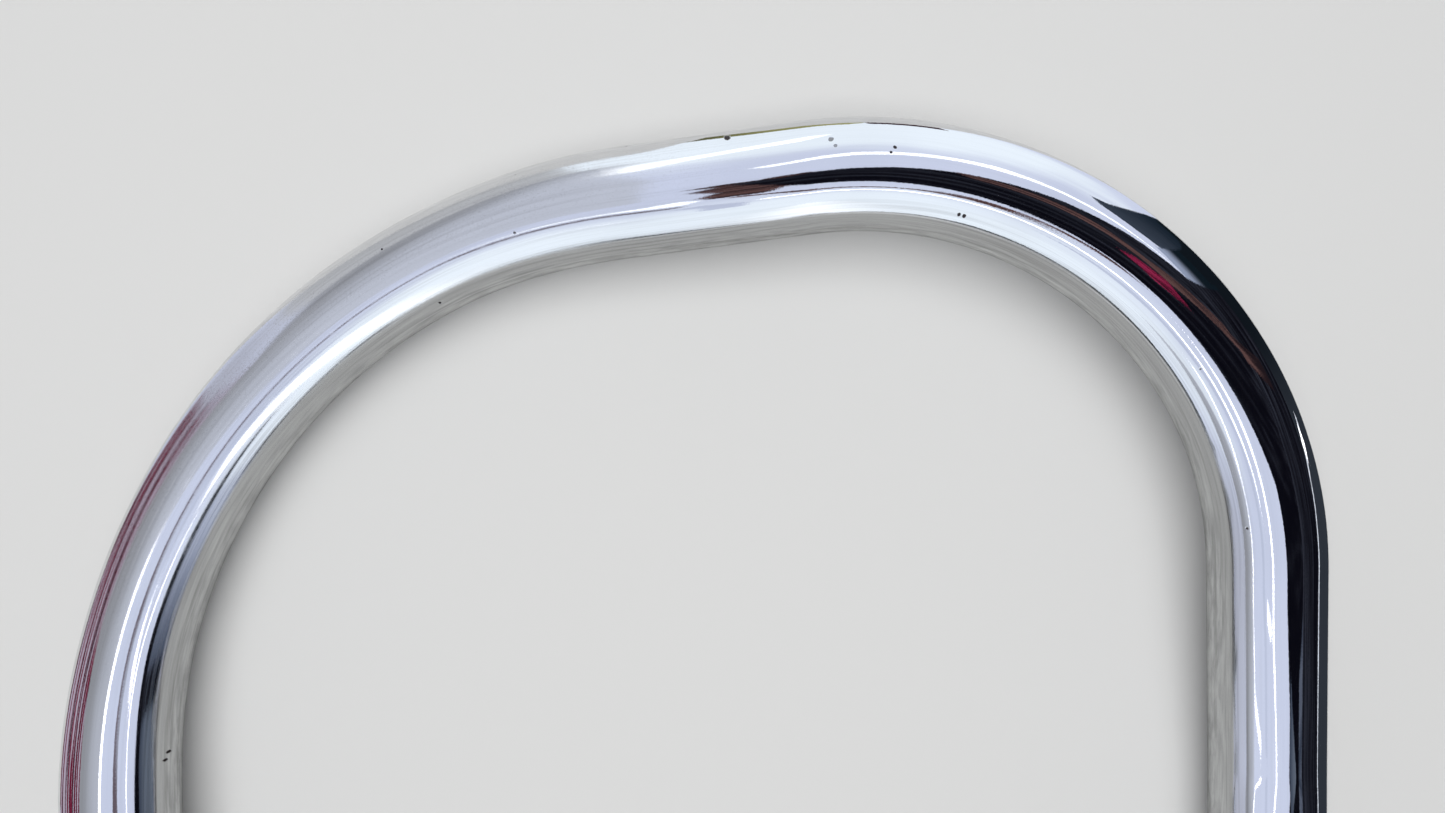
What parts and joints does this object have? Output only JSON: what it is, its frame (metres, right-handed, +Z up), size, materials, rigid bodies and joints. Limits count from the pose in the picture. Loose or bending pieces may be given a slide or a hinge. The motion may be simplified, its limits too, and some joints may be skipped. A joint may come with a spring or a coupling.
{
  "type": "tubular grab rail",
  "caption": "Bent chrome-plated steel tube hoop with two legs, flattened bolt eyes and welded lugs, held by the hand as a grab rail and bolted to a vehicle frame.",
  "frame": {"origin": "centre of the rail's box, on the surface that the rail lies on", "axes": "+X across the legs to the right leg, +Y towards the closed end of the hoop, +Z up"},
  "size_m": [0.3037, 0.3002, 0.0469],
  "materials": {
    "tube_chrome": "mirror chrome plate with fine pits",
    "lug_chrome": "thinner chrome plate over pressed steel",
    "zinc": "bright zinc plate",
    "spring_steel": "dull spring steel"
  },
  "bodies": {
    "root": {"grip_tube": "tube_chrome", "left_lug": "lug_chrome", "right_lug": "lug_chrome", "front_left_bolt": "zinc", "front_left_spring_washer": "spring_steel", "front_left_plain_washer": "zinc", "front_left_collar": "zinc", "rear_left_bolt": "zinc", "rear_left_spring_washer": "spring_steel", "rear_left_plain_washer": "zinc", "rear_left_collar": "zinc", "front_right_bolt": "zinc", "front_right_spring_washer": "spring_steel", "front_right_plain_washer": "zinc", "front_right_collar": "zinc", "rear_right_bolt": "zinc", "rear_right_spring_washer": "spring_steel", "rear_right_plain_washer": "zinc", "rear_right_collar": "zinc"}
  },
  "joints": []
}
